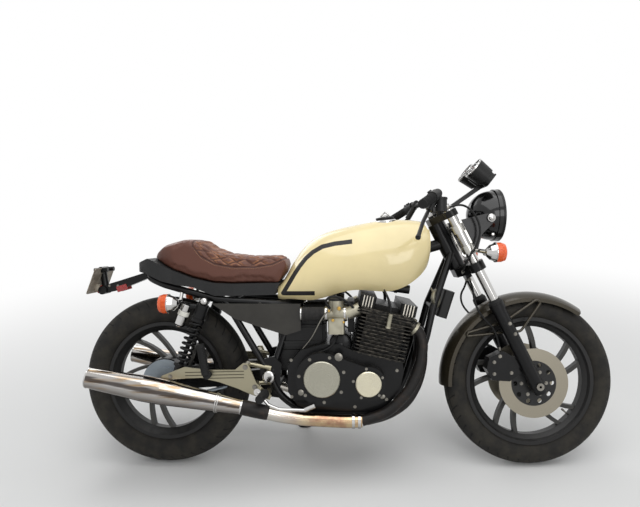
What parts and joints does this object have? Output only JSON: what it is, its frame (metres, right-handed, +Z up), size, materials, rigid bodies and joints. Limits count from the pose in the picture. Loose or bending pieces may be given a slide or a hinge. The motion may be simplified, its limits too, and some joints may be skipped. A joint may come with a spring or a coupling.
{
  "type": "cafe racer motorcycle",
  "caption": "Cafe racer motorcycle with a long tank, humped solo seat, low bars and cast wheels, leaning on its side stand; wheels, steering and stand move.",
  "frame": {"origin": "centre of the bounding box at the ground", "axes": "+X forward, +Y to the rider's left, +Z up; the machine leans 12 degrees to its left on its stand"},
  "size_m": [2.1112, 0.7722, 1.1854],
  "materials": {
    "tank_cream": "gloss cream paint with a black stripe",
    "black_paint": "gloss black paint",
    "engine_black": "satin black engine paint",
    "cast_black": "satin black cast wheel with machined spoke faces",
    "satin_silver": "satin machined alloy",
    "cast_alloy": "sand-cast alloy",
    "plate_alloy": "brushed alloy plate",
    "chrome": "polished chrome",
    "steel": "brushed steel",
    "header_black": "heat-proof black",
    "seat_leather": "quilted brown leather",
    "seat_black": "black grained cover",
    "fender_dark": "dark metallic grey paint",
    "black_plastic": "matte black",
    "rubber": "ribbed rubber",
    "tyre": "worn tread",
    "lamp_glass": "clear fluted glass",
    "amber": "amber lens",
    "plate_blank": "blank grey-brown plate",
    "filter": "pleated filter with a bright end ring"
  },
  "bodies": {
    "root": {"crankcase": "engine_black", "engine_casings": "engine_black", "round_covers": "satin_silver", "cylinders": "engine_black", "cylinder_head": "engine_black", "cam_covers": "engine_black", "carburettors": "cast_alloy", "air_filters": "filter", "frame": "black_paint", "header_pipes": "header_black", "collector_pipes": "chrome", "silencers": "chrome", "fuel_tank": "tank_cream", "fuel_cap": "satin_silver", "seat_base": "seat_black", "seat_pad": "seat_leather", "side_covers": "fender_dark", "swingarm": "black_paint", "pivot_shaft": "chrome", "rear_axle": "steel", "brake_panel": "satin_silver", "shocks": "black_paint", "shock_springs": "black_paint", "footrest_plates": "plate_alloy", "pegs": "rubber", "brake_pedal": "chrome", "gear_lever": "chrome", "regulator": "black_plastic", "plate_arm": "black_paint", "number_plate": "plate_blank", "rear_indicators": "chrome", "rear_indicator_lenses": "amber", "side_stand_bracket": "black_paint"},
    "steering": {"lower_yoke_and_stem": "cast_alloy", "top_yoke": "cast_alloy", "fork_tubes": "chrome", "fork_sliders": "black_paint", "front_axle": "steel", "calipers": "cast_black", "front_fender": "fender_dark", "fender_stays": "fender_dark", "headlight_shell": "black_paint", "headlight_lens": "lamp_glass", "headlight_ears": "black_paint", "gauges": "black_plastic", "front_indicators": "chrome", "front_indicator_lenses": "amber", "handlebar": "black_paint", "grips": "rubber", "hand_controls": "black_plastic", "master_hose": "rubber", "right_brake_hose": "rubber", "left_brake_hose": "rubber"},
    "front_wheel": {"front_wheel_casting": "cast_black", "front_tyre": "tyre", "front_discs": "steel"},
    "rear_wheel": {"rear_wheel_casting": "cast_black", "rear_tyre": "tyre"},
    "side_stand": {"side_stand_leg": "black_paint"}
  },
  "joints": [
    {"name": "steering_turn", "type": "hinge", "parent": "root", "child": "steering", "pos_m": [0.68588, -0.10674, 0.30483], "axis": [-0.4384, 0.1869, 0.8792], "range_deg": [-39, 31]},
    {"name": "front_wheel_turn", "type": "hinge", "parent": "steering", "child": "front_wheel", "pos_m": [0.72623, -0.09958, 0.32342], "axis": [-0.0627, 0.9694, -0.2373], "continuous": true},
    {"name": "rear_wheel_turn", "type": "hinge", "parent": "root", "child": "rear_wheel", "pos_m": [-0.71867, -0.10118, 0.33097], "axis": [0, 0.9781, -0.2079], "continuous": true},
    {"name": "side_stand_fold", "type": "hinge", "parent": "root", "child": "side_stand", "pos_m": [-0.21867, -0.00742, 0.18529], "axis": [0.1117, 0.8577, 0.5019], "range_deg": [0, 100.79]}
  ]
}
